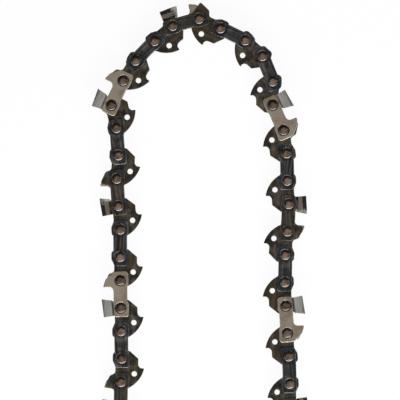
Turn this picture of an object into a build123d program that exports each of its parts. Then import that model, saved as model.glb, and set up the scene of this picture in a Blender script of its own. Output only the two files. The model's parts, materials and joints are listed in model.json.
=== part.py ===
"""Saw chain loop, 3/8 inch low profile, lying on its side, in millimetres.

Drive links and pairs of side plates take turns round the loop, and two rivets hold each pair.
Every second pair carries a cutter, on the right and on the left of the chain by turns, and
the drive link ahead of each cutter rises to a bumper in front of its depth gauge.
The chain travels up the left strand, over the arch and down the right one. In a link's own
frame x is the way of travel, y points out of the loop and z across the chain.
"""
import math
import os

from build123d import *

# chain: rivet to rivet across one drive link and across one pair of side plates
drive_span = 8.6
side_span = 10.04
link_pairs = 25

# thicknesses across the chain and the running gaps
drive_thickness = 1.3
plate_thickness = 1.15
side_gap = 0.05
pivot_gap = 0.08
rivet_fit = 0.01

# rivets and round holes, cut with few flats because the loop repeats them so often
rivet_radius = 2.0
rivet_proud = 0.55
flats = 8

# drive link: nose past each rivet, two humps with a valley between them on the outer side
nose_end = 3.0
nose_half = 1.1
hump_height = 3.3
hump_inside = 0.9
hump_outside = 1.9
valley_height = 2.25
valley_half = 1.2

# drive link: tang toward the bar, hooked in front and rounded behind, with its oil hole
front_shoulder = 2.25
front_drop = 2.5
heel_inside = 0.3
heel_depth = 5.8
hook_tip = 0.35
hook_depth = 8.0
hook_width = 1.5
tang_radius = 10.5
rear_shoulder = 2.1
rear_drop = 2.9
oil_hole_radius = 1.15
oil_hole_back = 1.56
oil_hole_depth = 4.5

# bumper: the ramp on the drive link ahead of a cutter, measured from its rear rivet
bumper_height = 5.9
bumper_end = 2.1
brow_height = 5.15
knee_height = 4.3
knee_ahead = 2.25

# side plates: past the rivet, out from the rivet line and in toward the bar
plate_end = 3.4
plate_top = 2.55
plate_foot = 3.0
plate_waist = 2.45
plate_corner = 1.0
foot_inside = 1.3
waist_slope = 1.2

# cutter: depth gauge over the front rivet, tooth bent out and over from the rear rivet
gauge_height = 6.2
gauge_behind = 2.5
gauge_crest = 0.9
gauge_brow = 5.5
gauge_nose = 0.3
gullet_radius = 1.6
tooth_height = 6.95
tooth_ahead = 3.45
tooth_length = 6.9
tooth_fall = 0.11
crease_height = 2.75
crease_rise = 0.75
half_kerf = 3.2
top_plate_reach = 0.4
top_plate_angle = 30.0
file_hollow = 0.65
heel_lean = 0.55

# lie of the loop: heading of each link in degrees, from the bottom of the left strand up,
# over the arch and down the right strand; the rest of the loop closes below in a plain bend
left_strand = [89, 91, 91, 91, 90, 90, 94, 94, 86, 94, 103]
arch = [64, 58, 46, 40, 15, -24, -26, -42, -68]
right_strand = [-90, -67, -82, -89, -86, -93, -95, -91, -88, -87, -86, -88]

# the order of side pairs round the loop, and the place of the one spare pair of tie straps
side_order = ["tie_strap", "right_cutter", "tie_strap", "left_cutter"]
spare_tie_strap = 8

# worked out: inner and outer face of a side plate, half spans, room round a turning rivet
plate_base = drive_thickness / 2 + side_gap
plate_face = plate_base + plate_thickness
drive_half = drive_span / 2
side_half = side_span / 2
bore_radius = (rivet_radius + pivot_gap) / math.cos(math.pi / flats)


def run_end(spans, headings):
    """Where a run of links ends, as steps along x and y from its first rivet."""
    across = sum(span * math.cos(math.radians(turn)) for span, turn in zip(spans, headings))
    up = sum(span * math.sin(math.radians(turn)) for span, turn in zip(spans, headings))
    return across, up


def bend_headings(first, last, count, straight):
    """Headings of a bend with a straight share of its links at each end."""
    headings = []
    for link in range(count):
        share = ((link + 0.5) / count - straight) / (1 - 2 * straight)
        headings.append(first + (last - first) * min(max(share, 0.0), 1.0))
    return headings


def loop_headings(spans):
    """Headings of every link: the run that is given, then the bend that closes the loop."""
    given = left_strand + arch + right_strand
    width, rise = run_end(spans, given)
    rest = spans[len(given):]
    least, most = 0.0, 0.49
    for _ in range(60):
        straight = (least + most) / 2
        bend = bend_headings(given[-1], given[0] - 360, len(rest), straight)
        across, up = run_end(rest, bend)
        if math.hypot(across, up) > math.hypot(width, rise):
            least = straight
        else:
            most = straight
    swing = math.degrees(math.atan2(-rise, -width) - math.atan2(up, across))
    swing = (swing + 180) % 360 - 180
    return given + [heading + swing for heading in bend]


def loop_places():
    """The middle of each link and its heading, from the first rivet of the left strand."""
    spans = [drive_span, side_span] * link_pairs
    rear_x, rear_y = 0.0, 0.0
    places = []
    for span, heading in zip(spans, loop_headings(spans)):
        across, up = run_end([span], [heading])
        places.append(Location((rear_x + across / 2, rear_y + up / 2, 0), (0, 0, heading)))
        rear_x += across
        rear_y += up
    return places


def drive_link(bumper):
    """Flat centre link with its tang, hook and oil hole; a bumper rises over the rear rivet."""
    tip = (hook_tip, -hook_depth)
    hook_start = (hook_tip + hook_width, -heel_depth)
    tang_rear = (-drive_half - rear_shoulder, -rear_drop)
    hump = (drive_half - hump_inside, hump_height)
    with BuildPart() as link:
        with BuildSketch(Plane.XY.offset(-drive_thickness / 2)):
            with BuildLine():
                Polyline(
                    hump,
                    (drive_half + hump_outside, hump_height),
                    (drive_half + nose_end, nose_half),
                    (drive_half + nose_end, -nose_half),
                    (drive_half + front_shoulder, -front_drop),
                    (drive_half - heel_inside, -heel_depth),
                    hook_start,
                )
                TangentArc(hook_start, tip, tangent=(-1, 0))
                RadiusArc(tip, tang_rear, tang_radius)
                rear_nose = Polyline(
                    tang_rear,
                    (-drive_half - nose_end, -nose_half),
                    (-drive_half - nose_end, nose_half),
                )
                if bumper:
                    Polyline(
                        rear_nose @ 1,
                        (-drive_half - bumper_end, bumper_height),
                        (-drive_half, brow_height),
                        (-drive_half + knee_ahead, knee_height),
                        (0, valley_height),
                        (valley_half, valley_height),
                        hump,
                    )
                else:
                    Polyline(
                        rear_nose @ 1,
                        (-drive_half - hump_outside, hump_height),
                        (-drive_half + hump_inside, hump_height),
                        (-valley_half, valley_height),
                        (valley_half, valley_height),
                        hump,
                    )
            make_face()
            with Locations((drive_half, 0), (-drive_half, 0)):
                RegularPolygon(bore_radius, flats, mode=Mode.SUBTRACT)
            with Locations((-oil_hole_back, -oil_hole_depth)):
                RegularPolygon(oil_hole_radius, flats, mode=Mode.SUBTRACT)
        extrude(amount=drive_thickness)
    link.part.label = "bumper_link" if bumper else "drive_link"
    return link.part


def rivet_holes():
    """The two rivet holes of a side plate."""
    with Locations((side_half, 0), (-side_half, 0)):
        RegularPolygon(rivet_radius + rivet_fit, flats, mode=Mode.SUBTRACT)


def tie_strap():
    """Plain side plate, on the right of the chain."""
    end = side_half + plate_end
    with BuildPart() as strap:
        with BuildSketch(Plane.XY.offset(plate_base)):
            with BuildLine():
                front = Polyline(
                    (0, plate_top),
                    (end - plate_corner, plate_top),
                    (end, plate_top - plate_corner),
                    (end, plate_corner - plate_foot),
                    (end - plate_corner, -plate_foot),
                    (side_half - foot_inside, -plate_foot),
                    (side_half - foot_inside - waist_slope, -plate_waist),
                    (0, -plate_waist),
                )
                mirror(front, about=Plane.YZ)
            make_face()
            rivet_holes()
        extrude(amount=plate_thickness)
    strap.part.label = "tie_strap"
    return strap.part


def cutter():
    """Side plate with its depth gauge, gullet and tooth, on the right of the chain."""
    end = side_half + plate_end
    gauge_rear = side_half - gauge_behind
    tooth_front = tooth_ahead - side_half
    tooth_wall = half_kerf - plate_thickness
    bend_end = crease_height + crease_rise
    heel = tooth_front - tooth_length
    filing_slope = math.tan(math.radians(top_plate_angle))
    sweep_back = (half_kerf + top_plate_reach) * filing_slope
    with BuildPart() as plate:
        with BuildSketch(Plane.XY.offset(plate_base)):
            with BuildLine():
                outline = Polyline(
                    (gauge_rear - gullet_radius, plate_top),
                    (plate_corner - end, plate_top),
                    (-end, plate_top - plate_corner),
                    (-end, plate_corner - plate_foot),
                    (plate_corner - end, -plate_foot),
                    (foot_inside - side_half, -plate_foot),
                    (foot_inside + waist_slope - side_half, -plate_waist),
                    (side_half - foot_inside - waist_slope, -plate_waist),
                    (side_half - foot_inside, -plate_foot),
                    (end - plate_corner, -plate_foot),
                    (end, plate_corner - plate_foot),
                    (end, plate_top - plate_corner),
                    (end - gauge_nose, plate_top),
                    (side_half, gauge_brow),
                    (gauge_rear + gauge_crest, gauge_height),
                    (gauge_rear, gauge_height),
                    (gauge_rear, plate_top + gullet_radius),
                )
                RadiusArc(outline @ 1, outline @ 0, gullet_radius)
            make_face()
            rivet_holes()
        extrude(amount=plate_thickness)
        # the tooth is one bent strip: joggled out past the rivet heads, then over the chain
        with BuildSketch(Plane.YZ.offset(tooth_front)):
            with BuildLine():
                Polyline(
                    (crease_height - plate_thickness, plate_base),
                    (crease_height, plate_base),
                    (bend_end, tooth_wall),
                    (tooth_height - plate_thickness, tooth_wall),
                    (tooth_height - plate_thickness, -top_plate_reach),
                    (tooth_height, -top_plate_reach),
                    (tooth_height, half_kerf),
                    (bend_end, half_kerf),
                    (crease_height, plate_face),
                    (crease_height - plate_thickness, plate_face),
                    close=True,
                )
            make_face()
        extrude(amount=tooth_length, dir=(-1, -tooth_fall, 0))
        # a file run across the chain hollows the front of the tooth and leaves its corner sharp
        with BuildSketch(Plane.XY.offset(half_kerf)):
            with BuildLine():
                Polyline(
                    (tooth_front - file_hollow, crease_height),
                    (tooth_front - file_hollow, tooth_height - plate_thickness),
                    (tooth_front + file_hollow, tooth_height + plate_thickness),
                    (tooth_front + file_hollow + sweep_back, tooth_height + plate_thickness),
                    (tooth_front + file_hollow + sweep_back, crease_height),
                    close=True,
                )
            make_face()
        extrude(amount=2 * half_kerf, dir=(-filing_slope, 0, -1), mode=Mode.SUBTRACT)
        # the heel of the tooth leans forward, down to the rear corner of the plate
        with BuildSketch(Plane.XY):
            with BuildLine():
                Polyline(
                    (heel, tooth_height),
                    (heel + heel_lean, plate_top),
                    (plate_corner - end, plate_top),
                    (-end, plate_top - plate_corner),
                    (-end - plate_end, plate_top - plate_corner),
                    (-end - plate_end, tooth_height),
                    close=True,
                )
            make_face()
        extrude(amount=2 * half_kerf, both=True, mode=Mode.SUBTRACT)
    plate.part.label = "cutter"
    return plate.part


def rivet():
    """Rivet through a pair of side plates, peened proud of both."""
    length = 2 * (plate_face + rivet_proud)
    with BuildPart() as pin:
        with BuildSketch(Plane.XY.offset(-length / 2)):
            RegularPolygon(rivet_radius, flats)
        extrude(amount=length)
    pin.part.label = "rivet"
    return pin.part


def side_kind(pair):
    """What the pair of side plates at this place round the loop is."""
    if pair == spare_tie_strap:
        return "tie_strap"
    step = pair - 1 if pair > spare_tie_strap else pair
    return side_order[step % len(side_order)]


plain_link = drive_link(bumper=False)
bumper_link = drive_link(bumper=True)
right_strap = tie_strap()
left_strap = mirror(right_strap, about=Plane.XY)
left_strap.label = right_strap.label
right_cutter = cutter()
left_cutter = mirror(right_cutter, about=Plane.XY)
left_cutter.label = right_cutter.label
pin = rivet()
front_rivet = Location((side_half, 0, 0))
rear_rivet = Location((-side_half, 0, 0))
plates = {
    "tie_strap": [right_strap, left_strap],
    "right_cutter": [right_cutter, left_strap],
    "left_cutter": [right_strap, left_cutter],
}

# each link of the loop is a node, and each of its pieces is a solid
places = loop_places()
nodes = []
for pair in range(link_pairs):
    leads_cutter = side_kind((pair - 1) % link_pairs) != "tie_strap"
    link = bumper_link if leads_cutter else plain_link
    link_name = "bumper_link" if leads_cutter else "drive_link"
    link_pieces = [link.moved(places[2 * pair])]
    nodes.append(Compound(label=f"{link_name}_{pair + 1:02d}", children=link_pieces))
    place = places[2 * pair + 1]
    pieces = [plate.moved(place) for plate in plates[side_kind(pair)]]
    pieces += [pin.moved(place * front_rivet), pin.moved(place * rear_rivet)]
    nodes.append(Compound(label=f"{side_kind(pair)}_link_{pair + 1:02d}", children=pieces))

# the loop lies on z = 0 with the origin in the middle of its footprint
corners = [node.bounding_box() for node in nodes]
middle_x = (min(box.min.X for box in corners) + max(box.max.X for box in corners)) / 2
middle_y = (min(box.min.Y for box in corners) + max(box.max.Y for box in corners)) / 2
lowest = min(box.min.Z for box in corners)
settle = Location((-middle_x, -middle_y, -lowest))
os.makedirs("parts", exist_ok=True)
for node in nodes:
    export_step(node.moved(settle), f"parts/{node.label}.step")
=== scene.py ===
# %% [markdown]
# # A saw chain loop on a white table
#
# The object is a loop of chain for a small garden saw. It lies on its side and is seen from
# straight above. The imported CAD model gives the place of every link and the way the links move.
# This lesson builds the fine shapes and the steel finishes over that model: first one good copy
# of each kind of link, then a Geometry Nodes tree that lays the copies round the loop.

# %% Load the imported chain
import json
import math

import bmesh
import bpy
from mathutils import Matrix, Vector

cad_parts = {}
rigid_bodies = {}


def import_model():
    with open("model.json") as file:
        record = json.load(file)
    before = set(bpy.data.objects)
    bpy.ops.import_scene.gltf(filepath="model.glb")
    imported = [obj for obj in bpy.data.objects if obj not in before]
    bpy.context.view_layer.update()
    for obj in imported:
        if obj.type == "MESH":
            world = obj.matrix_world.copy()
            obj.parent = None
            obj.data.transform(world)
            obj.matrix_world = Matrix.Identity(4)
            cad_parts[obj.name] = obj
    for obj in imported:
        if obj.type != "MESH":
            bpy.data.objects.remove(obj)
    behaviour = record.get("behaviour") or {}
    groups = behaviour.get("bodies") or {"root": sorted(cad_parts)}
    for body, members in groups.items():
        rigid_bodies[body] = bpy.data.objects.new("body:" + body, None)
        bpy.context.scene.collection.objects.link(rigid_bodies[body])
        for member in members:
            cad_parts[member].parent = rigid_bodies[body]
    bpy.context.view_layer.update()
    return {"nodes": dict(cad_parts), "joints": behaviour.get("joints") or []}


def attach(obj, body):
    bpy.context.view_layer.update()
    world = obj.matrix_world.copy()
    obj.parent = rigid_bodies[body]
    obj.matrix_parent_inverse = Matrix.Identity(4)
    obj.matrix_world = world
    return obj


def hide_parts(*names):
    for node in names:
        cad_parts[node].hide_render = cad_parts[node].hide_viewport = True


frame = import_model()
mm = 0.001
print("links in the packed chain:", len(frame["nodes"]))

# %% [markdown]
# ## Where the links are
#
# Every hinge of the model is a rivet, and the record says where each one is. Places could be typed
# in, but two rivets already give the middle of a link and the way it points. One rivet has no
# hinge, because a closed loop has to be opened somewhere to be moved. Its place follows from the
# lengths of the two links that meet there.

# %% Read the rivets in the order of travel
drive_span, side_span = 8.60 * mm, 10.04 * mm
rivet_between = {frozenset((hinge["parent"], hinge["child"])): Vector(hinge["pos_m"][:2])
                 for hinge in frame["joints"]}
chain_height = frame["joints"][0]["pos_m"][2]


def is_drive_link(name):
    """Drive links run in the middle of the chain; some of them carry a bumper."""
    return name.startswith(("drive", "bumper"))


def span_of(name):
    """From rivet to rivet on one link: side plates are longer than drive links."""
    return drive_span if is_drive_link(name) else side_span


def loop_rank(name):
    """Links in the order of travel: each drive link, then the side plates ahead of it."""
    return int(name[-2:]), not is_drive_link(name)


loop_order = sorted(frame["nodes"], key=loop_rank)
next_in_loop = loop_order[1:] + loop_order[:1]
front_rivet = {here: rivet_between.get(frozenset((here, ahead)))
               for here, ahead in zip(loop_order, next_in_loop)}
print("rivets with a hinge:", len(rivet_between), "of", len(loop_order))


# %% Find the rivet without a hinge, and each link's middle and heading
def meeting_point(first, reach_first, second, reach_second):
    """The point on the outer side that lies at these two distances from two known rivets."""
    gap = second - first
    along = (gap.length_squared + reach_first ** 2 - reach_second ** 2) / (2 * gap.length)
    out = math.sqrt(max(reach_first ** 2 - along ** 2, 0.0))
    gap.normalize()
    return first + gap * along + Vector((-gap.y, gap.x)) * out


open_place = next(k for k, name in enumerate(loop_order) if front_rivet[name] is None)
open_link, after_open = loop_order[open_place], next_in_loop[open_place]
front_rivet[open_link] = meeting_point(
    front_rivet[loop_order[open_place - 1]], span_of(open_link),
    front_rivet[after_open], span_of(after_open))

link_middle, link_heading, misfits = {}, {}, []
for behind, here in zip(loop_order[-1:] + loop_order[:-1], loop_order):
    run = front_rivet[here] - front_rivet[behind]
    middle = (front_rivet[here] + front_rivet[behind]) / 2
    link_middle[here] = Vector((middle.x, middle.y, chain_height))
    link_heading[here] = math.atan2(run.y, run.x)
    misfits.append(abs(run.length - span_of(here)) / mm)
open_rivet = [round(v / mm, 2) for v in front_rivet[open_link]]
print("rivets fit their links within %.4f mm" % max(misfits))
print("the loop is open ahead of", open_link, "at", open_rivet, "mm")

# %% [markdown]
# ## Outlines
#
# All the links but the teeth are stamped from sheet steel, so each is a flat outline with holes.
# A stamped corner is never quite sharp: every corner below has its own radius, in millimetres.
# A bevel would round all corners alike, so the outlines are drawn point by point instead.
# In a link's own frame x is the way of travel, y points out of the loop and z across the chain.

# %% Draw arcs, rounded corners and round holes
most_of_side, nearly_straight = 0.48, 1.55
hole_step = 11.25


def turn_between(start, end):
    """The shorter turn from one angle to another, in degrees."""
    return (end - start + 180) % 360 - 180


def angle_of(arm):
    """The angle of a flat vector, in degrees."""
    return math.degrees(math.atan2(arm.y, arm.x))


def arc_points(centre, radius, start, sweep, step=10):
    """Points on an arc, angles in degrees."""
    count = max(2, math.ceil(abs(sweep) / step))
    turns = [math.radians(start + sweep * k / count) for k in range(count + 1)]
    return [Vector((centre[0] + radius * math.cos(t), centre[1] + radius * math.sin(t)))
            for t in turns]


def rounded_outline(corners):
    """A closed outline through corners (x, y, radius); a radius of 0 keeps the point as it is."""
    points = []
    for k, (x, y, radius) in enumerate(corners):
        here = Vector((x, y))
        if radius == 0:
            points.append(here)
            continue
        back = Vector(corners[k - 1][:2]) - here
        ahead = Vector(corners[(k + 1) % len(corners)][:2]) - here
        room = most_of_side * min(back.length, ahead.length)
        back.normalize()
        ahead.normalize()
        half = back.angle(ahead) / 2
        if half > nearly_straight:
            points.append(here)
            continue
        reach = min(radius / math.tan(half), room)
        centre = here + (back + ahead).normalized() * (reach / math.cos(half))
        first, last = here + back * reach - centre, here + ahead * reach - centre
        start = angle_of(first)
        points += arc_points(centre, first.length, start, turn_between(start, angle_of(last)))
    return points


def round_hole(x, y, radius):
    """A hole's outline, run the other way round so that steel is always on the left."""
    return arc_points((x, y), radius, 0, -360, hole_step)[:-1]


def arc_between(first, last, radius, steps=9):
    """Corners of radius 0 on the arc from first to last; the sign says which side it bulges to."""
    chord = Vector(last) - Vector(first)
    rise = math.sqrt(radius ** 2 - (chord.length / 2) ** 2)
    side = Vector((-chord.y, chord.x)).normalized() * math.copysign(rise, -radius)
    centre = (Vector(first) + Vector(last)) / 2 + side
    start = angle_of(Vector(first) - centre)
    sweep = turn_between(start, angle_of(Vector(last) - centre))
    points = arc_points(centre, abs(radius), start, sweep, abs(sweep) / steps)
    return [(p.x, p.y, 0) for p in points]


print("a hole has", len(round_hole(0, 0, 1)), "points")

# %% [markdown]
# ### The drive link
#
# A drive link has two humps outside and a hooked tang inside that runs in the groove of the guide
# bar. The tang's edge is one long arc. The hook ahead of its tip carries oil, and so does the hole.
# Ahead of a cutter the rear hump is drawn out to a bumper, which keeps the cutter from biting.

# %% Outline a drive link
drive_half, side_half = drive_span / mm / 2, side_span / mm / 2
rivet_radius, pivot_gap = 2.0, 0.08
hump_top, valley_floor, drive_end, bumper_top = 3.3, 2.25, 3.0, 5.9
tang_tip, hook_start, tang_shoulder = (0.8, -8.3), (2.3, -6.1), -2.9
tang_radius, tip_rounding, hook_points_left_out = 10.5, 0.28, 3


def drive_link_outline(with_bumper):
    """Two humps outside, a hooked tang inside; a bumper replaces the rear hump."""
    d, end = drive_half, drive_half + drive_end
    width, depth = hook_start[0] - tang_tip[0], hook_start[1] - tang_tip[1]
    hook_radius = (width ** 2 + depth ** 2) / (2 * depth)
    front = [(d - 0.9, hump_top, 1.5), (d + 1.9, hump_top, 1.4), (end, 1.1, 1.4), (end, -1.1, 1.2),
             (d + 2.75, tang_shoulder, 1.2), (d - 0.02, hook_start[1], 0.4)]
    hook = arc_between(hook_start, tang_tip, -hook_radius)[:-hook_points_left_out]
    tip = [(*tang_tip, tip_rounding)]
    tang = arc_between(tang_tip, (-d - 2.1, tang_shoulder), tang_radius, 10)[1:]
    rear = [(-end, -1.1, 1.2), (-end, 1.1, 1.2)]
    if with_bumper:
        rear += [(-d - 2.1, bumper_top, 0.7), (-d, 5.15, 1.2), (-d + 2.25, 4.3, 1.3)]
    else:
        rear += [(-d - 1.9, hump_top, 1.4), (-d + 0.9, hump_top, 1.5)]
    valley = [(-1.2, valley_floor, 1.2), (1.2, valley_floor, 1.2)]
    return rounded_outline(front + hook + tip + tang + rear + valley)[::-1]


oil_hole = round_hole(-1.3, -4.7, 0.98)
rivet_room = rivet_radius + pivot_gap
drive_holes = [round_hole(drive_half, 0, rivet_room), round_hole(-drive_half, 0, rivet_room),
               oil_hole]
print("points on a drive link:", len(drive_link_outline(False)),
      "and with a bumper:", len(drive_link_outline(True)))

# %% [markdown]
# ### The side plates
#
# Side plates hold the rivets. A tie strap is plain: a straight back, and feet that widen below the
# two rivets. A cutter's plate has the same feet and carries a depth gauge over its front rivet,
# which sets how deep the tooth bites. The gullet behind the gauge makes room for chips.

# %% Outline the tie strap and the cutter's plate
plate_end, plate_top, foot_line, waist_line = 3.4, 2.55, -3.0, -2.45
foot_inner, waist_outer = 1.4, 2.6
gauge_top, gullet_radius = 6.2, 1.6
side_holes = [round_hole(side_half, 0, rivet_radius), round_hole(-side_half, 0, rivet_radius)]


def strap_outline():
    """The plain side plate, drawn for its front half and mirrored."""
    s, end = side_half, side_half + plate_end
    half = [(end, plate_top, 1.5), (end, foot_line, 1.2), (s - foot_inner, foot_line, 0.9),
            (s - waist_outer, waist_line, 0.9)]
    other = [(-x, y, r) for x, y, r in half[::-1]]
    return rounded_outline(half + other)[::-1]


def cutter_outline():
    """The cutter's side plate: depth gauge over the front rivet, gullet behind it."""
    s, end = side_half, side_half + plate_end
    gauge_rear = s - 2.5
    feet = [(-end, plate_top, 1.1), (-end, foot_line, 1.2), (foot_inner - s, foot_line, 0.9),
            (waist_outer - s, waist_line, 0.9), (s - waist_outer, waist_line, 0.9),
            (s - foot_inner, foot_line, 0.9), (end, foot_line, 1.2)]
    gauge = [(end, 1.2, 0.9), (end - 0.3, 2.7, 0.9), (s + 0.3, 5.45, 1.6),
             (gauge_rear + 0.7, gauge_top, 0.6), (gauge_rear, gauge_top, 0.3)]
    gullet = arc_between((gauge_rear, plate_top + gullet_radius),
                         (gauge_rear - gullet_radius, plate_top), gullet_radius, 8)
    return rounded_outline(feet + gauge + gullet)


print("points on a strap:", len(strap_outline()), "and on a cutter's plate:", len(cutter_outline()))

# %% [markdown]
# ## From outline to stamped plate
#
# A plate is its outline lifted through a few rings: in from the edge, over a small rounding, down
# the wall and round again. Rings are better than a bevel modifier here, because each ring can say
# how worn it is. That goes into an attribute named edge, and the finish reads it later. Another
# attribute keeps every point's place on its own link, so a pattern can follow the link.

# %% Stack a plate from rings
rounding_turns = (30, 60, 90)
face_rim_wear, corner_wear, wall_wear = 0.55, 1.0, 0.5


def inset_loop(loop, amount):
    """The same loop moved to its left, which is into the steel."""
    moved = []
    for k, here in enumerate(loop):
        before = (here - loop[k - 1]).normalized()
        after = (loop[(k + 1) % len(loop)] - here).normalized()
        left = Vector((-before.y, before.x))
        along = (left + Vector((-after.y, after.x))).normalized()
        moved.append(here + along * amount / max(along.dot(left), 0.5))
    return moved


def edge_steps(thickness, rounding, margin):
    """Rings from the lower face to the upper one: how far in, how high and how worn."""
    top = [(rounding + margin, thickness / 2, 0.0), (rounding, thickness / 2, face_rim_wear)]
    for turn in rounding_turns:
        t = math.radians(turn)
        drop = rounding * (1 - math.cos(t))
        worn = corner_wear if turn < 90 else wall_wear
        top.append((rounding * (1 - math.sin(t)), thickness / 2 - drop, worn))
    lower = [(inset, -z, worn) for inset, z, worn in top]
    return lower + top[::-1]


def new_tags(mesh):
    """The layers that every link carries: wear, tooth or plate, place on the link, and inside."""
    layers = mesh.verts.layers
    return {"edge": layers.float.new("edge"), "tooth": layers.float.new("tooth"),
            "link_place": layers.float_vector.new("link_place"),
            "inside": layers.float.new("inside")}


def add_plate(mesh, tags, outline, holes, thickness, middle_z, rounding, margin):
    """Adds a stamped plate to a mesh in the making, in millimetres."""
    lower_rims, upper_rims, walls = [], [], []
    for loop in [outline] + holes:
        rings = []
        for inset, z, worn in edge_steps(thickness, rounding, margin):
            ring = [mesh.verts.new((p.x, p.y, middle_z + z)) for p in inset_loop(loop, inset)]
            for vert in ring:
                vert[tags["edge"]] = worn
            rings.append(ring)
        count = len(loop)
        for low, high in zip(rings, rings[1:]):
            for k in range(count):
                m = (k + 1) % count
                walls.append(mesh.faces.new((low[k], low[m], high[m], high[k])))
        lower_rims += [mesh.edges.get((rings[0][k], rings[0][k - 1])) for k in range(count)]
        upper_rims += [mesh.edges.get((rings[-1][k], rings[-1][k - 1])) for k in range(count)]
    for rims, facing in ((lower_rims, -1), (upper_rims, 1)):
        bmesh.ops.triangle_fill(mesh, use_beauty=True, edges=rims, normal=(0, 0, facing))
    for face in walls:
        face.smooth = True


print("a plate has", len(edge_steps(1.0, 0.1, 0.1)), "rings from face to face")

# %% [markdown]
# ### One master of each flat link
#
# A master is a link in its own frame, made once. It is drawn in millimetres and scaled to metres
# at the end, when its points have kept their place on the link.

# %% Make the flat masters
drive_thickness, plate_thickness, side_gap = 1.3, 1.15, 0.05
plate_base = drive_thickness / 2 + side_gap
plate_face = plate_base + plate_thickness
plate_step = plate_base + plate_face
drive_edge = {"rounding": 0.14, "margin": 0.06}
strap_edge = {"rounding": 0.2, "margin": 0.08}
cutter_edge = {"rounding": 0.22, "margin": 0.08}


def finish_master(mesh, tags, name, flip=False):
    """Turns millimetres into metres, keeps the place on the link, and gives a plain object."""
    if flip:
        for vert in mesh.verts:
            vert.co.z = -vert.co.z
    for vert in mesh.verts:
        vert[tags["link_place"]] = vert.co
    bmesh.ops.recalc_face_normals(mesh, faces=mesh.faces)
    bmesh.ops.scale(mesh, vec=(mm, mm, mm), verts=mesh.verts)
    data = bpy.data.meshes.new(name)
    mesh.to_mesh(data)
    mesh.free()
    print(name, "has", len(data.polygons), "faces")
    return bpy.data.objects.new(name, data)


def flat_master(name, outline, holes, thickness, edge):
    """A master link that is one flat plate, in the middle of its own thickness."""
    mesh = bmesh.new()
    tags = new_tags(mesh)
    add_plate(mesh, tags, outline, holes, thickness, 0.0, **edge)
    return finish_master(mesh, tags, name)


plain_drive_master = flat_master(
    "plain_drive_master", drive_link_outline(False), drive_holes, drive_thickness, drive_edge)
bumper_master = flat_master(
    "bumper_master", drive_link_outline(True), drive_holes, drive_thickness, drive_edge)
strap_master = flat_master(
    "strap_master", strap_outline(), side_holes, plate_thickness, strap_edge)

# %% [markdown]
# ## The cutter
#
# A cutter starts as its side plate. Its rear end is pressed outwards past the rivet heads and then
# folded over the chain, and the fold's front edge is filed back to a blade. The tooth is a bent
# strip, so it is built as one: an outer and an inner path across the chain, carried from the filed
# front edge back to the heel, which stands lower than the blade.

# %% Bend the tooth's outer and inner path
tooth_height, half_kerf, top_reach = 6.95, 3.2, 0.4
crease_height, bend_end, tooth_foot, seat = 2.75, 3.5, 2.2, 0.02
bend_points = 5


def bent_path(corners):
    """An open path through corners (y, z, radius), with the same number of points on every bend."""
    points = [Vector(corners[0][:2])]
    for k in range(1, len(corners) - 1):
        here, radius = Vector(corners[k][:2]), corners[k][2]
        back = (Vector(corners[k - 1][:2]) - here).normalized()
        ahead = (Vector(corners[k + 1][:2]) - here).normalized()
        half = back.angle(ahead) / 2
        reach = radius / math.tan(half)
        centre = here + (back + ahead).normalized() * (radius / math.sin(half))
        start = angle_of(here + back * reach - centre)
        sweep = turn_between(start, angle_of(here + ahead * reach - centre))
        points += arc_points(centre, radius, start, sweep, abs(sweep) / bend_points + 1e-6)
    return points + [Vector(corners[-1][:2])]


inner_wall, under_top = half_kerf - plate_thickness, tooth_height - plate_thickness
outer_face, inner_face = plate_face - seat, plate_base + seat
outer_path = bent_path([(tooth_foot, outer_face, 0), (crease_height, outer_face, 0.5),
                        (bend_end, half_kerf, 0.7), (tooth_height, half_kerf, 0.45),
                        (tooth_height, -top_reach, 0)])
inner_path = bent_path([(tooth_foot, inner_face, 0), (crease_height + 0.3, inner_face, 0.7),
                        (bend_end + 0.3, inner_wall, 0.5), (under_top, inner_wall, 0.3),
                        (under_top, -top_reach, 0)])
print("points across the tooth:", len(outer_path), "outside and", len(inner_path), "inside")

# %% [markdown]
# ### The filed tooth
#
# A round file runs across the chain at an angle, so the front is set back by the slant and is
# hollow below its sharp corner. The heel leans, and the whole top falls toward it, so that only
# the blade touches the wood.

# %% Carry the paths from the blade to the heel
tooth_front, tooth_length, tooth_fall = 3.45 - side_half, 6.9, 0.11
filing_angle, file_hollow, file_middle, heel_lean = 30.0, 0.65, 4.5, 0.55
fall_from, fall_over = 1.7, 1.8
sharp_turn = math.radians(40)
blade, behind_blade, heel = 0.0, 0.03, 1.0
tooth_shares = [blade, behind_blade, 0.12, 0.3, 0.5, 0.7, 0.88, 0.97, heel]
wear_at = {blade: 1.0, behind_blade: 0.5, heel: 0.5}


def front_at(y, z):
    """How far forward the filed face is at a height and a place across the chain."""
    off_middle = (y - file_middle) / (tooth_height - file_middle)
    hollow = file_hollow * max(0.0, 1 - off_middle ** 2)
    return tooth_front - hollow - (half_kerf - z) * math.tan(math.radians(filing_angle))


def rear_at(y):
    """How far back the heel is at a height."""
    below_corner = tooth_height - y + tooth_fall * tooth_length
    return tooth_front - tooth_length + heel_lean * below_corner / (tooth_height - plate_top)


def tooth_column(mesh, tags, y, z, is_inside):
    """Points from the blade back to the heel, which fall on the way."""
    front, rear = front_at(y, z), rear_at(y)
    column = []
    for share in tooth_shares:
        x = front + (rear - front) * share
        fall = tooth_fall * (tooth_front - x) * min(1.0, max(0.0, (y - fall_from) / fall_over))
        vert = mesh.verts.new((x, y - fall, z))
        vert[tags["tooth"]] = 1.0
        vert[tags["inside"]] = is_inside
        vert[tags["edge"]] = wear_at.get(share, 0.0)
        column.append(vert)
    return column


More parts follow.
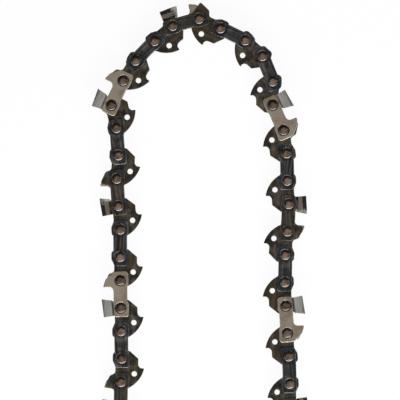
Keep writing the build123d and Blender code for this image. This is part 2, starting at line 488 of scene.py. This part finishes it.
def add_tooth(mesh, tags):
    """Adds the bent tooth, in millimetres, on the near side of the chain."""
    outside = [tooth_column(mesh, tags, y, z, 0.0) for y, z in outer_path]
    inside = [tooth_column(mesh, tags, y, z, 1.0) for y, z in inner_path]
    last, top = len(tooth_shares) - 1, len(outside) - 1
    quads = []
    for side in (outside, inside):
        quads += [(a[k], b[k], b[k + 1], a[k + 1])
                  for a, b in zip(side, side[1:]) for k in range(last)]
    quads += [(outside[k][end], inside[k][end], inside[k + 1][end], outside[k + 1][end])
              for k in range(top) for end in (0, last)]
    quads += [(outside[end][k], outside[end][k + 1], inside[end][k + 1], inside[end][k])
              for k in range(last) for end in (0, top)]
    made = [mesh.faces.new(quad) for quad in quads]
    bmesh.ops.recalc_face_normals(mesh, faces=made)
    for face in made:
        face.smooth = True
    for edge in {e for f in made for e in f.edges}:
        if edge.is_manifold and edge.calc_face_angle(0) > sharp_turn:
            edge.smooth = False


def cutter_master_for(name, flip):
    """A whole cutter: its side plate and its tooth; the left one is the right one turned over."""
    mesh = bmesh.new()
    tags = new_tags(mesh)
    add_plate(mesh, tags, cutter_outline(), side_holes, plate_thickness,
              (plate_base + plate_face) / 2, **cutter_edge)
    add_tooth(mesh, tags)
    return finish_master(mesh, tags, name, flip)


right_cutter_master = cutter_master_for("right_cutter_master", False)
left_cutter_master = cutter_master_for("left_cutter_master", True)

# %% [markdown]
# ## The rivets
#
# A chain rivet is turned, pushed through both side plates and spun over at each end, which leaves
# a low dome, a groove round it where oil stays, and a broad sloping rim. A turned part is a profile
# spun round its axis. The slope of the rim matters most: it catches the light as a bright crescent.
# The attribute named edge is 0 on the dome, a half in the groove and 1 on the rim.

# %% Spin one rivet
rivet_profile = [(0.0, 2.37), (0.35, 2.36), (0.7, 2.31), (1.0, 2.235), (1.25, 2.14), (1.42, 2.055),
                 (1.5, 2.03), (1.58, 2.0), (1.7, 1.92), (1.84, 1.8), (1.95, 1.68), (1.99, 1.55),
                 (1.99, 0.0)]
rivet_sides, dome_end, groove_blend, rim_start = 32, 1.25, 0.17, 1.55


def rivet_zone(radius):
    """0 on the dome, a half in the groove and 1 on the rim."""
    in_groove = min(1.0, max(0.0, (radius - dome_end) / groove_blend)) * 0.5
    return in_groove + (0.5 if radius > rim_start else 0.0)


def spin_rivet():
    """A rivet with the same head at both ends, standing across the chain."""
    mesh = bmesh.new()
    tags = new_tags(mesh)
    rings = []
    for radius, z in rivet_profile + [(r, -z) for r, z in rivet_profile[-2::-1]]:
        ring = []
        for k in range(rivet_sides if radius > 0 else 1):
            turn = 2 * math.pi * k / rivet_sides
            vert = mesh.verts.new((radius * math.cos(turn), radius * math.sin(turn), z))
            vert[tags["edge"]] = rivet_zone(radius)
            ring.append(vert)
        rings.append(ring)
    for upper, lower in zip(rings, rings[1:]):
        for k in range(rivet_sides):
            m = (k + 1) % rivet_sides
            corners = [upper[k % len(upper)], lower[k % len(lower)],
                       lower[m % len(lower)], upper[m % len(upper)]]
            face = mesh.faces.new(list(dict.fromkeys(corners)))
            face.smooth = True
    return finish_master(mesh, tags, "rivet_master")


rivet_master = spin_rivet()

# %% [markdown]
# ## Steel finishes
#
# A few finishes make the look of a new chain: browned steel on the drive links, blued or smoked
# steel on the tie straps, satin nickel on the cutters with a harder grey plate on the tooth, and
# bronzed rivets, with a darker copy as painted shade where they sit in a near cutter. They share
# the same few effects, so each effect is a small node group. First come the helpers that keep node
# trees readable.

# %% Helpers for node trees
colour, number = "NodeSocketColor", "NodeSocketFloat"
grey = (0.5, 0.5, 0.5, 1.0)


def new_group(name, sockets_in, sockets_out):
    """An empty shader group with named sockets; returns its tree, inputs and outputs."""
    tree = bpy.data.node_groups.new(name, "ShaderNodeTree")
    for label, kind, value in sockets_in:
        socket = tree.interface.new_socket(label, in_out="INPUT", socket_type=kind)
        socket.default_value = value
    for label, kind in sockets_out:
        tree.interface.new_socket(label, in_out="OUTPUT", socket_type=kind)
    given = tree.nodes.new("NodeGroupInput").outputs
    return tree, given, tree.nodes.new("NodeGroupOutput").inputs


def add_node(tree, kind, inputs=None, **settings):
    """A node with its settings and inputs; an input is a value or another node's output."""
    node = tree.nodes.new(kind)
    for key, value in settings.items():
        setattr(node, key, value)
    for key, value in (inputs or {}).items():
        if isinstance(value, bpy.types.NodeSocket):
            tree.links.new(value, node.inputs[key])
        else:
            node.inputs[key].default_value = value
    return node


def use_group(tree, group, inputs):
    """A shared effect placed in a material."""
    return add_node(tree, "ShaderNodeGroup", inputs, node_tree=group).outputs


def mixed(tree, factor, first, second):
    """The colour output of a mix of two colours."""
    node = add_node(tree, "ShaderNodeMix", {0: factor, 6: first, 7: second}, data_type="RGBA")
    return node.outputs[2]


def ranged(tree, value, low, high, to_low=0.0, to_high=1.0):
    """A value brought from one range to another, with soft ends."""
    inputs = {0: value, 1: low, 2: high, 3: to_low, 4: to_high}
    return add_node(tree, "ShaderNodeMapRange", inputs, interpolation_type="SMOOTHSTEP").outputs[0]


def worked(tree, operation, first, second=0.0):
    """One step of arithmetic."""
    return add_node(tree, "ShaderNodeMath", {0: first, 1: second}, operation=operation).outputs[0]


def noise_at(tree, scale, detail, roughness=0.55):
    """Noise on the part's own coordinates, which are the same for every link."""
    where = add_node(tree, "ShaderNodeTexCoord").outputs["Object"]
    inputs = {"Vector": where, "Scale": scale, "Detail": detail, "Roughness": roughness}
    return add_node(tree, "ShaderNodeTexNoise", inputs).outputs[0]


def mask_of(tree, name):
    """A number that every point of a master carries."""
    return add_node(tree, "ShaderNodeAttribute", attribute_name=name).outputs["Fac"]


def place_on_link(tree):
    """Along, outward and across: a point's place on its own link, in millimetres."""
    stored = add_node(tree, "ShaderNodeAttribute", attribute_name="link_place").outputs["Vector"]
    return add_node(tree, "ShaderNodeSeparateXYZ", {0: stored}).outputs


print("a node input takes a value or a socket; kinds in use:", colour, number)

# %% [markdown]
# ### Blotches left by the oil bath
#
# Hot steel comes out of the bath in patches. Two sizes of noise pick between three colours.

# %% Make the blotches
patch_band, tint_band = (0.38, 0.62), (0.42, 0.64)
bath_blotches, given, out = new_group(
    "bath_blotches",
    [("Plain", colour, grey), ("Blotch", colour, grey), ("Tint", colour, grey),
     ("Blotch scale", number, 300.0), ("Tint scale", number, 120.0)],
    [("Colour", colour)])
blotch = ranged(bath_blotches, noise_at(bath_blotches, given["Blotch scale"], 4.0), *patch_band)
tint = ranged(bath_blotches, noise_at(bath_blotches, given["Tint scale"], 2.0), *tint_band)
spotted = mixed(bath_blotches, blotch, given["Plain"], given["Blotch"])
bath_blotches.links.new(mixed(bath_blotches, tint, spotted, given["Tint"]), out["Colour"])
print(bath_blotches.name, "has", len(bath_blotches.nodes), "nodes")

# %% [markdown]
# ### Bare metal on worn edges
#
# Links rub on each other and lose their colour at the edges first. The masters say where an edge
# is, and noise breaks the line up, so that no edge is worn all along.

# %% Make the worn edges
edge_wear, given, out = new_group(
    "edge_wear",
    [("Colour", colour, grey), ("Bare", colour, grey), ("Amount", number, 0.5),
     ("Patch scale", number, 500.0)],
    [("Colour", colour)])
patchy = ranged(edge_wear, noise_at(edge_wear, given["Patch scale"], 2.0), *patch_band)
worn = worked(edge_wear, "MULTIPLY", mask_of(edge_wear, "edge"), patchy)
worn = worked(edge_wear, "MULTIPLY", worn, given["Amount"])
edge_wear.links.new(mixed(edge_wear, worn, given["Colour"], given["Bare"]), out["Colour"])
print(edge_wear.name, "has", len(edge_wear.nodes), "nodes")

# %% [markdown]
# ### Oil and painted shade round the rivets
#
# Oil stays in the corner round each rivet, and the dark ring there is also painted shade of that
# corner. A point's distance from the nearer rivet follows from its place on the link, so the ring
# needs no painted mask.

# %% Make the rings of oil and painted shade
rivet_oil_and_shade, given, out = new_group(
    "rivet_oil_and_shade",
    [("Colour", colour, grey), ("Oil and shade", colour, (0.006, 0.005, 0.005, 1.0)),
     ("Half span", number, 5.0), ("Reach", number, 3.3), ("Amount", number, 0.7)],
    [("Colour", colour)])
along, outward, across = place_on_link(rivet_oil_and_shade)
from_middle = worked(rivet_oil_and_shade, "ABSOLUTE", along)
off_rivet = worked(rivet_oil_and_shade, "SUBTRACT", from_middle, given["Half span"])
flat = add_node(rivet_oil_and_shade, "ShaderNodeCombineXYZ", {0: off_rivet, 1: outward}).outputs[0]
away = add_node(rivet_oil_and_shade, "ShaderNodeVectorMath", {0: flat}, operation="LENGTH").outputs["Value"]
ring = ranged(rivet_oil_and_shade, away, given["Reach"], rivet_radius)
ring = worked(rivet_oil_and_shade, "MULTIPLY", ring, given["Amount"])
rivet_oil_and_shade.links.new(mixed(rivet_oil_and_shade, ring, given["Colour"], given["Oil and shade"]), out["Colour"])
print(rivet_oil_and_shade.name, "has", len(rivet_oil_and_shade.nodes), "nodes")

# %% [markdown]
# ### Streaks from the rolling mill
#
# Sheet steel is rolled, and the oxide shows it as streaks along a link. Noise squeezed along the
# link gives long streaks. A slow drift over the whole loop makes every link's streaks its own.

# %% Make the streaks
streak_stretch, drift_scale, drift_reach = 0.06, 25.0, 9.0
streak_scale, streak_band = 0.8, (0.34, 0.66)
rolled_streaks, given, out = new_group(
    "rolled_streaks",
    [("Colour", colour, grey), ("Darkest", number, 0.5), ("Lightest", number, 1.6)],
    [("Colour", colour)])
along, outward, across = place_on_link(rolled_streaks)
drift = noise_at(rolled_streaks, drift_scale, 0.0)
drift = worked(rolled_streaks, "MULTIPLY", drift, drift_reach)
stretched = add_node(rolled_streaks, "ShaderNodeCombineXYZ", {
    0: worked(rolled_streaks, "MULTIPLY", along, streak_stretch),
    1: worked(rolled_streaks, "ADD", outward, drift)}).outputs[0]
streak = add_node(rolled_streaks, "ShaderNodeTexNoise", {
    "Vector": stretched, "Scale": streak_scale, "Detail": 2.0}).outputs[0]
level = ranged(rolled_streaks, streak, *streak_band, given["Darkest"], given["Lightest"])
shaded = add_node(rolled_streaks, "ShaderNodeVectorMath", {0: given["Colour"], "Scale": level},
                  operation="SCALE").outputs[0]
rolled_streaks.links.new(shaded, out["Colour"])
print(rolled_streaks.name, "has", len(rolled_streaks.nodes), "nodes")

# %% [markdown]
# ### Heat tint
#
# Steel that was heated turns blue where it got hottest, which on a strap is at its ends and along
# its sides. The place on the link says how near an edge a point is, and broad noise over the whole
# loop leaves some links blue and others brown.

# %% Make the heat tint
tint_ends, tint_sides = (6.2, 7.8), (1.3, 2.3)
heat_patch_scale, heat_band = 75.0, (0.42, 0.62)
heat_tint, given, out = new_group(
    "heat_tint",
    [("Colour", colour, grey), ("Tint", colour, grey), ("Amount", number, 0.7)],
    [("Colour", colour)])
along, outward, across = place_on_link(heat_tint)
near_end = ranged(heat_tint, worked(heat_tint, "ABSOLUTE", along), *tint_ends)
near_side = ranged(heat_tint, worked(heat_tint, "ABSOLUTE", outward), *tint_sides)
near_edge = worked(heat_tint, "MAXIMUM", near_end, near_side)
near_edge = worked(heat_tint, "MULTIPLY", near_edge, given["Amount"])
in_places = ranged(heat_tint, noise_at(heat_tint, heat_patch_scale, 1.0), *heat_band)
tinted = worked(heat_tint, "MULTIPLY", near_edge, in_places)
heat_tint.links.new(mixed(heat_tint, tinted, given["Colour"], given["Tint"]), out["Colour"])
print(heat_tint.name, "has", len(heat_tint.nodes), "nodes")

# %% [markdown]
# ### Mill grain
#
# The fine grain of the sheet breaks up every reflection. It gives a roughness that varies, and a
# height for a small bump.

# %% Make the grain
broad_grain_scale, broad_grain_share, rough_band = 420.0, 0.6, (0.35, 0.65)
mill_grain, given, out = new_group(
    "mill_grain",
    [("Grain scale", number, 2600.0), ("Least rough", number, 0.3), ("Most rough", number, 0.5)],
    [("Height", number), ("Roughness", number)])
fine = noise_at(mill_grain, given["Grain scale"], 2.0, 0.6)
broad = noise_at(mill_grain, broad_grain_scale, 3.0)
height = worked(mill_grain, "ADD", fine, worked(mill_grain, "MULTIPLY", broad, broad_grain_share))
mill_grain.links.new(height, out["Height"])
rough = add_node(mill_grain, "ShaderNodeMapRange", {
    0: broad, 1: rough_band[0], 2: rough_band[1],
    3: given["Least rough"], 4: given["Most rough"]}).outputs[0]
mill_grain.links.new(rough, out["Roughness"])
print(mill_grain.name, "has", len(mill_grain.nodes), "nodes")

# %% [markdown]
# ## From effects to finishes
#
# A finish is a chain of the shared effects that ends in one Principled shader. The shader itself
# stays in the material. Plated and oxidised steel is still metal, so the finishes are metallic and
# dark, and their colour is the colour of what they reflect. The bath finishes differ only in their
# colours and amounts, so one function makes all three.

# %% Make the bath finishes
bath_metallic, grain_depth = 0.85, 0.04 * mm
tip_dark_from, tip_dark_full, tip_dark_amount = -5.2, -7.4, 0.55


def rgb(red, green, blue):
    """A colour written as 0 to 255 on the screen, turned into light."""
    def light(value):
        value /= 255
        return value / 12.92 if value <= 0.04045 else ((value + 0.055) / 1.055) ** 2.4
    return light(red), light(green), light(blue), 1.0


def steel_finish(name, metallic):
    """A material with a Principled shader; returns the material, its tree and the shader."""
    material = bpy.data.materials.new(name)
    material.use_nodes = True
    shader = material.node_tree.nodes["Principled BSDF"]
    shader.inputs["Metallic"].default_value = metallic
    return material, material.node_tree, shader


def add_grain(tree, shader, scale, roughness, strength):
    """Mill grain on a finish: roughness between two values, and a fine bump."""
    grain = use_group(tree, mill_grain, {
        "Grain scale": scale, "Least rough": roughness[0], "Most rough": roughness[1]})
    tree.links.new(grain["Roughness"], shader.inputs["Roughness"])
    bump = add_node(tree, "ShaderNodeBump", {
        "Height": grain["Height"], "Strength": strength, "Distance": grain_depth})
    tree.links.new(bump.outputs[0], shader.inputs["Normal"])


def bath_finish(name, half_span, plain, blotch, tint, bare, oil_and_shade, wear, roughness, streaks,
                heat=None):
    """Blotched and streaked oxide, oil and painted shade round the rivets, a darker tip, bare metal
    on the edges.

    heat, if given, is the colour and the amount of the heat tint.
    """
    material, tree, shader = steel_finish(name, bath_metallic)
    look = use_group(tree, bath_blotches, {"Plain": plain, "Blotch": blotch, "Tint": tint})
    look = use_group(tree, rolled_streaks, {
        "Colour": look["Colour"], "Darkest": streaks[0], "Lightest": streaks[1]})
    if heat:
        look = use_group(tree, heat_tint, {
            "Colour": look["Colour"], "Tint": heat[0], "Amount": heat[1]})
    # Oil round each rivet, with painted shade in the corner there
    look = use_group(tree, rivet_oil_and_shade, {
        "Colour": look["Colour"], "Half span": half_span, "Amount": oil_and_shade})
    look = use_group(tree, edge_wear, {"Colour": look["Colour"], "Bare": bare, "Amount": wear})
    along, outward, across = place_on_link(tree)
    # Darker toward the tip of the tang
    tip_darkening = ranged(tree, outward, tip_dark_from, tip_dark_full)
    tip_darkening = worked(tree, "MULTIPLY", tip_darkening, tip_dark_amount)
    dark_tip = mixed(tree, tip_darkening, look["Colour"], rgb(24, 22, 20))
    tree.links.new(dark_tip, shader.inputs["Base Color"])
    add_grain(tree, shader, scale=2600.0, roughness=roughness, strength=0.35)
    return material


browned_steel = bath_finish(
    "browned_drive_steel", drive_half, plain=rgb(32, 30, 27), blotch=rgb(77, 72, 62),
    tint=rgb(60, 50, 37), bare=rgb(112, 104, 94), oil_and_shade=0.6, wear=0.4,
    roughness=(0.34, 0.52), streaks=(0.75, 1.3))
blued_steel = bath_finish(
    "blued_strap_steel", side_half, plain=rgb(35, 35, 36), blotch=rgb(76, 72, 68),
    tint=rgb(47, 46, 45), bare=rgb(158, 162, 166), oil_and_shade=0.75, wear=0.42,
    roughness=(0.28, 0.46), streaks=(0.25, 1.95), heat=(rgb(35, 47, 56), 0.6))
smoked_steel = bath_finish(
    "smoked_strap_steel", side_half, plain=rgb(48, 44, 37), blotch=rgb(73, 66, 57),
    tint=rgb(46, 44, 43), bare=rgb(146, 144, 140), oil_and_shade=0.6, wear=0.36,
    roughness=(0.28, 0.46), streaks=(0.5, 1.6), heat=(rgb(40, 50, 55), 0.5))
print("bath finishes:", [m.name for m in (browned_steel, blued_steel, smoked_steel)])

# %% [markdown]
# ### The cutter's nickel
#
# A cutter is plated warm grey on its side plate and a colder, harder grey on the tooth. The rolled
# bands of the tooth run with the chain. Painted shade darkens the top of the tooth, the crease
# under it, the corner at the foot of its inside and the free end of its top plate. The inside is
# unplated and darker, partly as painted shade. One material holds both, told apart by the tooth
# mask.

# %% Make the cutter's finish
band_scale, band_contrast = 1.7, (0.36, 0.64)
top_shade_band, corner_shade_band, middle_shade_band = (5.5, 6.4), (3.7, 3.1), (0.9, 0.45)
crease_line, crease_shade_fade = 2.72, (0.2, 0.05)
nickel_steel, tree, shader = steel_finish("nickel_cutter_steel", metallic=0.9)
plate_look = use_group(tree, bath_blotches, {
    "Plain": rgb(128, 117, 102), "Blotch": rgb(115, 102, 87), "Tint": rgb(138, 128, 113),
    "Blotch scale": 420.0})
# Oil round each rivet, with painted shade round the rivet head
plate_look = use_group(tree, rivet_oil_and_shade, {
    "Colour": plate_look["Colour"], "Oil and shade": rgb(58, 44, 34), "Half span": side_half,
    "Reach": 2.45, "Amount": 0.85})

along, outward, across = place_on_link(tree)
stretched = add_node(tree, "ShaderNodeCombineXYZ", {
    0: worked(tree, "MULTIPLY", along, streak_stretch), 1: outward, 2: across}).outputs[0]
bands = add_node(tree, "ShaderNodeTexNoise", {
    "Vector": stretched, "Scale": band_scale, "Detail": 3.0}).outputs[0]
bands = ranged(tree, bands, *band_contrast)
plated = mixed(tree, bands, rgb(123, 121, 117), rgb(147, 145, 140))
# Painted shade: the top of the tooth is darker
plated = mixed(tree, ranged(tree, outward, *top_shade_band), plated, rgb(103, 99, 92))
# Painted shade in the crease under the tooth
off_crease = worked(tree, "ABSOLUTE", worked(tree, "SUBTRACT", outward, crease_line))
plated = mixed(tree, ranged(tree, off_crease, *crease_shade_fade), plated, rgb(118, 109, 100))

# The tooth's inside: unplated steel, and darker also as painted shade
unplated_and_shaded = mixed(tree, bands, rgb(96, 86, 77), rgb(127, 118, 108))
# Painted shade, nearly black, in the corner at the foot of the tooth's inside
unplated_and_shaded = mixed(tree, ranged(tree, outward, *corner_shade_band), unplated_and_shaded, rgb(18, 16, 15))
tooth_look = mixed(tree, mask_of(tree, "inside"), plated, unplated_and_shaded)
# Painted shade where the tooth comes nearest the chain's middle, at the top plate's free end
shade_near_middle = ranged(tree, worked(tree, "ABSOLUTE", across), *middle_shade_band)
tooth_look = mixed(tree, shade_near_middle, tooth_look, rgb(38, 32, 28))

whole_look = mixed(tree, mask_of(tree, "tooth"), plate_look["Colour"], tooth_look)
whole_look = use_group(tree, edge_wear, {
    "Colour": whole_look, "Bare": rgb(205, 200, 190), "Amount": 0.6})
tree.links.new(whole_look["Colour"], shader.inputs["Base Color"])
add_grain(tree, shader, scale=2200.0, roughness=(0.3, 0.46), strength=0.25)
print(nickel_steel.name, "has", len(tree.nodes), "nodes")

# %% [markdown]
# ### The rivets' bronze
#
# Rivet heads are smooth and brown, with a rim that the spinning tool has polished. Oil darkens the
# groove, and painted shade of that recess darkens it more. Rivets in a cutter on the near side get
# a darker copy, painted shade where they sit in the cutter, so there are two finishes.


# %% Make the rivet finishes
def rivet_finish(name, plain, blotch, tint, rim):
    """Bronzed steel: a mottled dome, a groove darkened by oil and painted shade, and a polished
    rim.
    """
    material, tree, shader = steel_finish(name, metallic=0.7)
    dome = use_group(tree, bath_blotches, {
        "Plain": plain, "Blotch": blotch, "Tint": tint, "Blotch scale": 700.0, "Tint scale": 260.0})
    zone = mask_of(tree, "edge")
    # The groove: oil, and painted shade of the recess
    head = mixed(tree, ranged(tree, zone, 0.0, 0.5), dome["Colour"], rgb(40, 27, 20))
    head = mixed(tree, ranged(tree, zone, 0.5, 1.0), head, rim)
    tree.links.new(head, shader.inputs["Base Color"])
    add_grain(tree, shader, scale=3000.0, roughness=(0.14, 0.24), strength=0.08)
    return material


bronzed_steel = rivet_finish(
    "bronzed_rivet_steel", plain=rgb(103, 84, 70), blotch=rgb(72, 53, 40),
    tint=rgb(116, 97, 83), rim=rgb(104, 99, 93))
# A darker copy of the rivet finish: painted shade for rivets in a near cutter
shaded_rivet_steel = rivet_finish(
    "rivet_steel_in_shade", plain=rgb(88, 71, 60), blotch=rgb(56, 41, 31),
    tint=rgb(99, 83, 71), rim=rgb(92, 86, 80))
print("rivet finishes:", [m.name for m in (bronzed_steel, shaded_rivet_steel)])

# %% [markdown]
# ## Laying the links round the loop
#
# Fifty links from six masters is what Geometry Nodes are for. One tree serves them all: it sets a
# row of points, puts a master on each, turns and moves the row to the link's place, makes the
# copies real and gives them their finish. A row is one plate, two straps side by side across the
# chain, or the two rivets of a pair, which differ a little in height as spun rivets do.

# %% Build the tree that lays masters on a link
lay_tree = bpy.data.node_groups.new("lay_on_link", "GeometryNodeTree")
lay_sockets = {}
for label, kind in (("Geometry", "NodeSocketGeometry"), ("Master", "NodeSocketObject"),
                    ("Count", "NodeSocketInt"), ("Step", "NodeSocketVector"),
                    ("Middle of link", "NodeSocketVector"), ("Heading", "NodeSocketFloat"),
                    ("Least height", "NodeSocketFloat"), ("Seed", "NodeSocketInt"),
                    ("Finish", "NodeSocketMaterial")):
    socket = lay_tree.interface.new_socket(label, in_out="INPUT", socket_type=kind)
    lay_sockets[label] = socket.identifier
lay_tree.interface.new_socket("Geometry", in_out="OUTPUT", socket_type="NodeSocketGeometry")
given = lay_tree.nodes.new("NodeGroupInput").outputs
out = lay_tree.nodes.new("NodeGroupOutput").inputs

half_row = worked(lay_tree, "MULTIPLY", worked(lay_tree, "SUBTRACT", given["Count"], 1.0), -0.5)
start = add_node(lay_tree, "ShaderNodeVectorMath", {0: given["Step"], "Scale": half_row},
                 operation="SCALE")
row = add_node(lay_tree, "GeometryNodeMeshLine", {
    "Count": given["Count"], "Start Location": start.outputs[0], "Offset": given["Step"]})
master = add_node(lay_tree, "GeometryNodeObjectInfo", {
    "Object": given["Master"], "As Instance": True})
height = add_node(lay_tree, "FunctionNodeRandomValue", {
    2: given["Least height"], 3: 1.0, "Seed": given["Seed"]})
size = add_node(lay_tree, "ShaderNodeCombineXYZ", {0: 1.0, 1: 1.0, 2: height.outputs[1]})
copies = add_node(lay_tree, "GeometryNodeInstanceOnPoints", {
    "Points": row.outputs[0], "Instance": master.outputs["Geometry"], "Scale": size.outputs[0]})
turn = add_node(lay_tree, "ShaderNodeCombineXYZ", {2: given["Heading"]})
placed = add_node(lay_tree, "GeometryNodeTransform", {
    "Geometry": copies.outputs[0], "Translation": given["Middle of link"],
    "Rotation": turn.outputs[0]})
real = add_node(lay_tree, "GeometryNodeRealizeInstances", {0: placed.outputs[0]})
painted = add_node(lay_tree, "GeometryNodeSetMaterial", {
    "Geometry": real.outputs[0], "Material": given["Finish"]})
lay_tree.links.new(painted.outputs[0], out[0])
print("the tree has", len(lay_tree.nodes), "nodes and", len(lay_sockets), "inputs")

# %% [markdown]
# ### One mesh for each piece
#
# The tree runs once for every piece. Its result is turned into a plain mesh, the piece rides on
# its link's body, and the pieces of a link together stand for the link's CAD solid.

# %% Lay every link
one_plate, pair_step = (0.0, 0.0, 0.0), (0.0, 0.0, plate_step * mm)
rivet_step, least_rivet_height = (side_span, 0.0, 0.0), 0.95
workshop = bpy.data.collections.new("masters")
bpy.context.scene.collection.children.link(workshop)
for part in (plain_drive_master, bumper_master, strap_master, right_cutter_master,
             left_cutter_master, rivet_master):
    workshop.objects.link(part)
face_counts = {}


def lay(piece_name, link, part, finish, count=1, step=one_plate, lift=0.0, least=1.0):
    """Runs the tree for one piece of one link, and makes its result a plain piece on that link."""
    maker = bpy.data.objects.new(piece_name + ".making", bpy.data.meshes.new(piece_name))
    bpy.context.scene.collection.objects.link(maker)
    modifier = maker.modifiers.new("lay", "NODES")
    modifier.node_group = lay_tree
    values = {"Master": part, "Count": count, "Step": step, "Heading": link_heading[link],
              "Middle of link": link_middle[link] + Vector((0, 0, lift)), "Least height": least,
              "Seed": int(link[-2:]), "Finish": finish}
    for label, value in values.items():
        modifier[lay_sockets[label]] = value
    bpy.context.view_layer.update()
    evaluated = maker.evaluated_get(bpy.context.evaluated_depsgraph_get())
    data = bpy.data.meshes.new_from_object(evaluated)
    bpy.data.objects.remove(maker)
    piece = bpy.data.objects.new(piece_name, data)
    bpy.context.scene.collection.objects.link(piece)
    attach(piece, link)
    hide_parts(link)
    face_counts[piece_name] = len(data.polygons)


for link in loop_order:
    kind, tail = link.rsplit("_link_", 1)
    if kind == "drive":
        lay("drive_plate_" + tail, link, plain_drive_master, browned_steel)
    elif kind == "bumper":
        lay("bumper_plate_" + tail, link, bumper_master, browned_steel)
    elif kind == "tie_strap":
        lay("tie_straps_" + tail, link, strap_master, blued_steel, count=2, step=pair_step)
    else:
        near = kind == "right_cutter"
        lay(kind + "_" + tail, link, right_cutter_master if near else left_cutter_master,
            nickel_steel)
        other_side = (-plate_step if near else plate_step) * mm / 2
        lay("tie_strap_" + tail, link, strap_master, smoked_steel, lift=other_side)
    if not is_drive_link(link):
        # Rivets in a near cutter take the darker copy, which paints their shade
        rivet_steel = shaded_rivet_steel if kind == "right_cutter" else bronzed_steel
        lay("rivets_" + tail, link, rivet_master, rivet_steel, count=2, step=rivet_step,
            least=least_rivet_height)
for part in list(workshop.objects):
    bpy.data.objects.remove(part)
bpy.data.collections.remove(workshop)
print("laid", len(face_counts), "pieces with", sum(face_counts.values()), "faces")

# %% [markdown]
# ## The table
#
# The chain lies on a plain white table. A white floor could be had with more light, but that would
# wash out the steel. Here the table shines white only to the camera and in reflections, and a
# small share of it stays matt, so that it keeps the chain's shadow.

# %% Set the table
table_half, table_drop, table_share = 4.0, 0.02 * mm, 0.94


def seen_by_camera(tree):
    """1 for rays from the camera, from gloss and through glass, and 0 for the light on things."""
    path = add_node(tree, "ShaderNodeLightPath").outputs
    seen = worked(tree, "MAXIMUM", path["Is Camera Ray"], path["Is Glossy Ray"])
    return worked(tree, "MAXIMUM", seen, path["Is Transmission Ray"])


table_mesh = bpy.data.meshes.new("table")
table_mesh.from_pydata([(-table_half, -table_half, 0), (table_half, -table_half, 0),
                        (table_half, table_half, 0), (-table_half, table_half, 0)],
                       [], [(0, 1, 2, 3)])
table = bpy.data.objects.new("table", table_mesh)
table.location.z = -table_drop
bpy.context.scene.collection.objects.link(table)
table_white = bpy.data.materials.new("table_white")
table_white.use_nodes = True
tree = table_white.node_tree
tree.nodes.remove(tree.nodes["Principled BSDF"])
matt = add_node(tree, "ShaderNodeBsdfDiffuse", {"Color": (0.9, 0.9, 0.9, 1.0)})
glow = add_node(tree, "ShaderNodeEmission", {"Color": (1.0, 1.0, 1.0, 1.0), "Strength": 1.0})
share = worked(tree, "MULTIPLY", seen_by_camera(tree), table_share)
both = add_node(tree, "ShaderNodeMixShader", {0: share, 1: matt.outputs[0], 2: glow.outputs[0]})
tree.links.new(both.outputs[0], tree.nodes["Material Output"].inputs["Surface"])
table_mesh.materials.append(table_white)
print("the table is %.0f m wide" % (2 * table_half))

# %% [markdown]
# ## The light
#
# The light comes mostly from below the picture, low enough to slide off the sloping rims of the
# rivets. A dark card stands round the other sides, as photographers do with shiny things, so that
# the far sides of the rims stay dark. The world gives the rest of the light, evenly.

# %% Light the world and stand the dark card
world_strength = 0.8
world = bpy.data.worlds.new("studio")
bpy.context.scene.world = world
world.use_nodes = True
tree = world.node_tree
backdrop = tree.nodes["Background"].inputs
backdrop["Color"].default_value = (1.0, 1.0, 1.0, 1.0)
tree.links.new(worked(tree, "MAXIMUM", seen_by_camera(tree), world_strength), backdrop["Strength"])

card_radius, card_rise, card_from, card_to = 0.9, 59.0, -15, 195
card_height = card_radius * math.tan(math.radians(card_rise))
card_arc = arc_points((0.0, 0.0), card_radius, card_from, card_to - card_from)
card_mesh = bpy.data.meshes.new("dark_card")
card_mesh.from_pydata([(p.x, p.y, z) for p in card_arc for z in (mm, card_height)], [],
                      [(2 * k, 2 * k + 2, 2 * k + 3, 2 * k + 1) for k in range(len(card_arc) - 1)])
dark_card = bpy.data.objects.new("dark_card", card_mesh)
dark_card.visible_camera = False
bpy.context.scene.collection.objects.link(dark_card)
card_black = bpy.data.materials.new("card_black")
card_black.use_nodes = True
card_inputs = card_black.node_tree.nodes["Principled BSDF"].inputs
card_inputs["Base Color"].default_value = (0.02, 0.02, 0.02, 1.0)
card_inputs["Roughness"].default_value = 1.0
card_mesh.materials.append(card_black)
print("the dark card stands %.2f m high, open toward the light" % card_height)

# %% Hang the lights
view_middle = Vector((-0.29 * mm, 33.37 * mm, chain_height))


def hang_light(name, place, size, watts):
    """A soft light, so wide and so tall, that looks at the middle of the view."""
    data = bpy.data.lights.new(name, "AREA")
    data.shape = "RECTANGLE"
    data.size, data.size_y = size
    data.energy = watts
    lamp = bpy.data.objects.new(name, data)
    lamp.location = place
    lamp.rotation_euler = (view_middle - Vector(place)).to_track_quat("-Z", "Y").to_euler()
    lamp.visible_camera = False
    bpy.context.scene.collection.objects.link(lamp)
    print(name, "hangs %.2f m from the chain" % (view_middle - Vector(place)).length)


hang_light("low_light", place=(0.12, -0.75, 0.42), size=(1.2, 0.4), watts=13.0)
hang_light("side_light", place=(0.6, 0.1, 0.55), size=(0.35, 0.35), watts=0.6)

# %% [markdown]
# ## The camera
#
# The camera hangs straight above, with a long lens, so that the links hardly show their sides.
# The picture ends before the loop does: the lower part of the loop lies outside the view.

# %% Aim the camera
camera_height, frame_width = 1.1, 146.8 * mm
camera_data = bpy.data.cameras.new("overhead")
camera_data.sensor_width = 36.0
camera_data.lens = camera_data.sensor_width * camera_height / frame_width
camera = bpy.data.objects.new("overhead", camera_data)
camera.location = view_middle + Vector((0.0, 0.0, camera_height))
bpy.context.scene.collection.objects.link(camera)
bpy.context.scene.camera = camera
bpy.context.scene.view_settings.view_transform = "Standard"
print("lens %.1f mm, %.0f mm across the picture" % (camera_data.lens, frame_width / mm))
